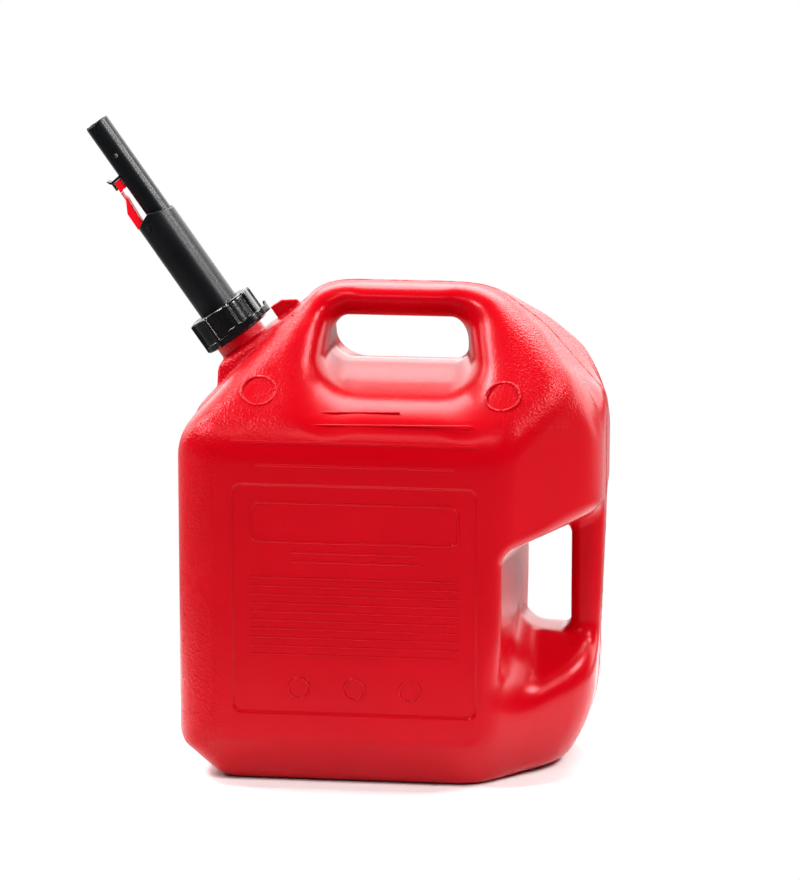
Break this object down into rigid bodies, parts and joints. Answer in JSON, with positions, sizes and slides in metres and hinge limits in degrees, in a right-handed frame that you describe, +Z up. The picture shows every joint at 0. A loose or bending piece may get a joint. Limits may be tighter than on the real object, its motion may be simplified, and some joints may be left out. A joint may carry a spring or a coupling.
{
  "type": "fuel can",
  "caption": "Blow-moulded fuel can with a top grip, a rear grip and a tilted screw-on pouring spout whose inner tube pushes in against a spring and is held by a thumb lock.",
  "frame": {"origin": "middle of the flat base, on the surface that the can stands on", "axes": "+Z up, +X towards the rear grip, -X towards the spout, +Y across to the side that the picture hides"},
  "size_m": [0.4009, 0.24, 0.4929],
  "materials": {
    "red_tank": "red blow-moulded polyethylene, satin, with a fine moulded grain on the shoulders",
    "black_gloss": "glossy black moulded plastic",
    "black_satin": "satin black moulded plastic",
    "red_lock": "satin bright red moulded plastic",
    "natural_white": "natural white moulded plastic",
    "seal_rubber": "matt black fuel-proof rubber",
    "spring_steel": "drawn stainless spring wire"
  },
  "bodies": {
    "tank": {"tank": "red_tank"},
    "spout": {"outer_tube": "black_satin", "guide_bush": "black_satin", "neck_gasket": "seal_rubber", "return_spring": "spring_steel"},
    "collar": {"collar": "black_gloss"},
    "nozzle": {"nozzle_tube": "black_satin", "vent_tube": "natural_white", "valve_stem": "natural_white", "valve_plug": "natural_white", "valve_seal": "seal_rubber", "lock_root": "red_lock"},
    "lock": {"lock_lever": "red_lock"}
  },
  "joints": [
    {"name": "spout_lift", "type": "slide", "parent": "tank", "child": "spout", "axis": [-0.5764, 0, 0.8171], "range_m": [0, 0.016]},
    {"name": "collar_turn", "type": "hinge", "parent": "spout", "child": "collar", "pos_m": [-0.1205, 0, 0.3184], "axis": [-0.5764, 0, 0.8171], "range_deg": [0, 720.5]},
    {"name": "nozzle_push", "type": "slide", "parent": "spout", "child": "nozzle", "axis": [0.5764, 0, -0.8171], "range_m": [0, 0.02], "stiffness_N_per_m": 600, "springref_m": -0.025, "deforming": ["return_spring"]},
    {"name": "lock_press", "type": "hinge", "parent": "nozzle", "child": "lock", "pos_m": [-0.21446, 0, 0.43378], "axis": [0, -1, 0], "range_deg": [0, 5], "stiffness_Nm_per_rad": 0.05, "springref_deg": -5.73}
  ],
  "couplings": [
    {"joint": "collar_turn", "follows": "spout_lift", "rad_per_m": 785.4}
  ]
}
